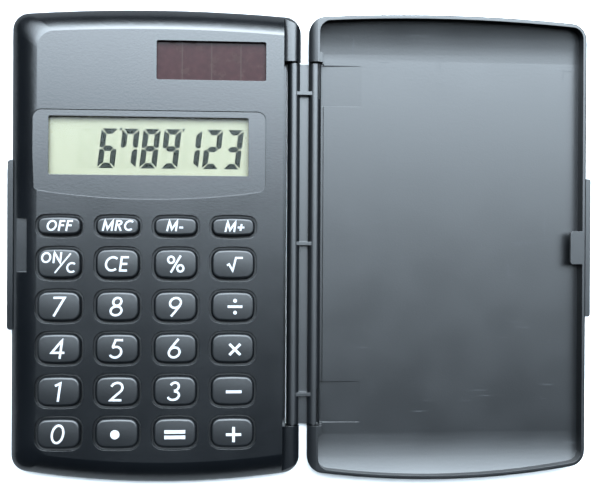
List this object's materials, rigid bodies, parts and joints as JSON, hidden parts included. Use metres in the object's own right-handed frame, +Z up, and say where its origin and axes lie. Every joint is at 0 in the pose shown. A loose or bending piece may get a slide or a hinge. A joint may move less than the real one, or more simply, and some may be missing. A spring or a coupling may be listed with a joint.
{
  "type": "pocket calculator",
  "caption": "Pocket calculator with a display, a solar cell, rubber-domed keys and a hinged hard cover that folds over the keys or behind the body.",
  "frame": {"origin": "centre of the rear case's resting face", "axes": "+X across the body towards the hinge and the opened cover, +Y towards the solar cell end, +Z up out of the keys"},
  "size_m": [0.1409, 0.1126, 0.008],
  "materials": {
    "case_plastic": "satin moulded styrene, fine grain",
    "cover_plastic": "satin moulded styrene, lightly scuffed inside",
    "link_plastic": "satin moulded plastic",
    "key_plastic": "soft satin, printed legends",
    "dome_rubber": "moulded silicone",
    "carbon_rubber": "carbon filled, matt",
    "board_laminate": "paper laminate with carbon and copper tracks",
    "epoxy": "cured drop",
    "can_metal": "drawn can",
    "clear_lens": "clear, gloss",
    "polariser_film": "film, satin",
    "display_glass": "ground edge glass",
    "reflector_film": "diffuse pale film",
    "foam": "closed cell foam",
    "solar_glass": "amorphous silicon on glass, dark maroon",
    "wire_sleeve": "thin sleeve",
    "cell_steel": "nickel plated",
    "contact_steel": "sprung strip",
    "screw_steel": "zinc plated"
  },
  "bodies": {
    "body": {"front_case": "case_plastic", "rear_case": "case_plastic", "dome_sheet": "dome_rubber", "contact_pills": "carbon_rubber", "circuit_board": "board_laminate", "chip_epoxy": "epoxy", "resistors": "epoxy", "capacitor": "can_metal", "lcd_window": "clear_lens", "lcd_polariser_front": "polariser_film", "lcd_glass_front": "display_glass", "lcd_glass_rear": "display_glass", "lcd_reflector": "reflector_film", "lcd_foam_pad": "foam", "zebra_strip": "carbon_rubber", "solar_cell": "solar_glass", "solar_cell_backing": "reflector_film", "solar_foam_pad": "foam", "solar_wires": "wire_sleeve", "button_cell": "cell_steel", "battery_contact_positive": "contact_steel", "battery_contact_negative": "contact_steel", "battery_wires": "wire_sleeve", "board_screws": "screw_steel", "case_screws": "screw_steel"},
    "link": {"hinge_link": "link_plastic"},
    "cover": {"flip_cover": "cover_plastic"},
    "key_off": {"key_off": "key_plastic"},
    "key_mrc": {"key_mrc": "key_plastic"},
    "key_m_minus": {"key_m_minus": "key_plastic"},
    "key_m_plus": {"key_m_plus": "key_plastic"},
    "key_on_c": {"key_on_c": "key_plastic"},
    "key_ce": {"key_ce": "key_plastic"},
    "key_percent": {"key_percent": "key_plastic"},
    "key_sqrt": {"key_sqrt": "key_plastic"},
    "key_7": {"key_7": "key_plastic"},
    "key_8": {"key_8": "key_plastic"},
    "key_9": {"key_9": "key_plastic"},
    "key_divide": {"key_divide": "key_plastic"},
    "key_4": {"key_4": "key_plastic"},
    "key_5": {"key_5": "key_plastic"},
    "key_6": {"key_6": "key_plastic"},
    "key_multiply": {"key_multiply": "key_plastic"},
    "key_1": {"key_1": "key_plastic"},
    "key_2": {"key_2": "key_plastic"},
    "key_3": {"key_3": "key_plastic"},
    "key_minus": {"key_minus": "key_plastic"},
    "key_0": {"key_0": "key_plastic"},
    "key_point": {"key_point": "key_plastic"},
    "key_equals": {"key_equals": "key_plastic"},
    "key_plus": {"key_plus": "key_plastic"}
  },
  "joints": [
    {"name": "body_hinge", "type": "hinge", "parent": "body", "child": "link", "pos_m": [0.03235, 0, 0.00215], "axis": [0, -1, 0], "range_deg": [-90, 90]},
    {"name": "cover_hinge", "type": "hinge", "parent": "link", "child": "cover", "pos_m": [0.03745, 0, 0.00215], "axis": [0, -1, 0], "range_deg": [-90, 90]},
    {"name": "key_off", "type": "slide", "parent": "body", "child": "key_off", "axis": [0, 0, -1], "range_m": [0, 0.0007], "stiffness_N_per_m": 100, "springref_m": -0.001, "deforming": ["dome_sheet", "contact_pills"]},
    {"name": "key_mrc", "type": "slide", "parent": "body", "child": "key_mrc", "axis": [0, 0, -1], "range_m": [0, 0.0007], "stiffness_N_per_m": 100, "springref_m": -0.001, "deforming": ["dome_sheet", "contact_pills"]},
    {"name": "key_m_minus", "type": "slide", "parent": "body", "child": "key_m_minus", "axis": [0, 0, -1], "range_m": [0, 0.0007], "stiffness_N_per_m": 100, "springref_m": -0.001, "deforming": ["dome_sheet", "contact_pills"]},
    {"name": "key_m_plus", "type": "slide", "parent": "body", "child": "key_m_plus", "axis": [0, 0, -1], "range_m": [0, 0.0007], "stiffness_N_per_m": 100, "springref_m": -0.001, "deforming": ["dome_sheet", "contact_pills"]},
    {"name": "key_on_c", "type": "slide", "parent": "body", "child": "key_on_c", "axis": [0, 0, -1], "range_m": [0, 0.0007], "stiffness_N_per_m": 100, "springref_m": -0.001, "deforming": ["dome_sheet", "contact_pills"]},
    {"name": "key_ce", "type": "slide", "parent": "body", "child": "key_ce", "axis": [0, 0, -1], "range_m": [0, 0.0007], "stiffness_N_per_m": 100, "springref_m": -0.001, "deforming": ["dome_sheet", "contact_pills"]},
    {"name": "key_percent", "type": "slide", "parent": "body", "child": "key_percent", "axis": [0, 0, -1], "range_m": [0, 0.0007], "stiffness_N_per_m": 100, "springref_m": -0.001, "deforming": ["dome_sheet", "contact_pills"]},
    {"name": "key_sqrt", "type": "slide", "parent": "body", "child": "key_sqrt", "axis": [0, 0, -1], "range_m": [0, 0.0007], "stiffness_N_per_m": 100, "springref_m": -0.001, "deforming": ["dome_sheet", "contact_pills"]},
    {"name": "key_7", "type": "slide", "parent": "body", "child": "key_7", "axis": [0, 0, -1], "range_m": [0, 0.0007], "stiffness_N_per_m": 100, "springref_m": -0.001, "deforming": ["dome_sheet", "contact_pills"]},
    {"name": "key_8", "type": "slide", "parent": "body", "child": "key_8", "axis": [0, 0, -1], "range_m": [0, 0.0007], "stiffness_N_per_m": 100, "springref_m": -0.001, "deforming": ["dome_sheet", "contact_pills"]},
    {"name": "key_9", "type": "slide", "parent": "body", "child": "key_9", "axis": [0, 0, -1], "range_m": [0, 0.0007], "stiffness_N_per_m": 100, "springref_m": -0.001, "deforming": ["dome_sheet", "contact_pills"]},
    {"name": "key_divide", "type": "slide", "parent": "body", "child": "key_divide", "axis": [0, 0, -1], "range_m": [0, 0.0007], "stiffness_N_per_m": 100, "springref_m": -0.001, "deforming": ["dome_sheet", "contact_pills"]},
    {"name": "key_4", "type": "slide", "parent": "body", "child": "key_4", "axis": [0, 0, -1], "range_m": [0, 0.0007], "stiffness_N_per_m": 100, "springref_m": -0.001, "deforming": ["dome_sheet", "contact_pills"]},
    {"name": "key_5", "type": "slide", "parent": "body", "child": "key_5", "axis": [0, 0, -1], "range_m": [0, 0.0007], "stiffness_N_per_m": 100, "springref_m": -0.001, "deforming": ["dome_sheet", "contact_pills"]},
    {"name": "key_6", "type": "slide", "parent": "body", "child": "key_6", "axis": [0, 0, -1], "range_m": [0, 0.0007], "stiffness_N_per_m": 100, "springref_m": -0.001, "deforming": ["dome_sheet", "contact_pills"]},
    {"name": "key_multiply", "type": "slide", "parent": "body", "child": "key_multiply", "axis": [0, 0, -1], "range_m": [0, 0.0007], "stiffness_N_per_m": 100, "springref_m": -0.001, "deforming": ["dome_sheet", "contact_pills"]},
    {"name": "key_1", "type": "slide", "parent": "body", "child": "key_1", "axis": [0, 0, -1], "range_m": [0, 0.0007], "stiffness_N_per_m": 100, "springref_m": -0.001, "deforming": ["dome_sheet", "contact_pills"]},
    {"name": "key_2", "type": "slide", "parent": "body", "child": "key_2", "axis": [0, 0, -1], "range_m": [0, 0.0007], "stiffness_N_per_m": 100, "springref_m": -0.001, "deforming": ["dome_sheet", "contact_pills"]},
    {"name": "key_3", "type": "slide", "parent": "body", "child": "key_3", "axis": [0, 0, -1], "range_m": [0, 0.0007], "stiffness_N_per_m": 100, "springref_m": -0.001, "deforming": ["dome_sheet", "contact_pills"]},
    {"name": "key_minus", "type": "slide", "parent": "body", "child": "key_minus", "axis": [0, 0, -1], "range_m": [0, 0.0007], "stiffness_N_per_m": 100, "springref_m": -0.001, "deforming": ["dome_sheet", "contact_pills"]},
    {"name": "key_0", "type": "slide", "parent": "body", "child": "key_0", "axis": [0, 0, -1], "range_m": [0, 0.0007], "stiffness_N_per_m": 100, "springref_m": -0.001, "deforming": ["dome_sheet", "contact_pills"]},
    {"name": "key_point", "type": "slide", "parent": "body", "child": "key_point", "axis": [0, 0, -1], "range_m": [0, 0.0007], "stiffness_N_per_m": 100, "springref_m": -0.001, "deforming": ["dome_sheet", "contact_pills"]},
    {"name": "key_equals", "type": "slide", "parent": "body", "child": "key_equals", "axis": [0, 0, -1], "range_m": [0, 0.0007], "stiffness_N_per_m": 100, "springref_m": -0.001, "deforming": ["dome_sheet", "contact_pills"]},
    {"name": "key_plus", "type": "slide", "parent": "body", "child": "key_plus", "axis": [0, 0, -1], "range_m": [0, 0.0007], "stiffness_N_per_m": 100, "springref_m": -0.001, "deforming": ["dome_sheet", "contact_pills"]}
  ]
}
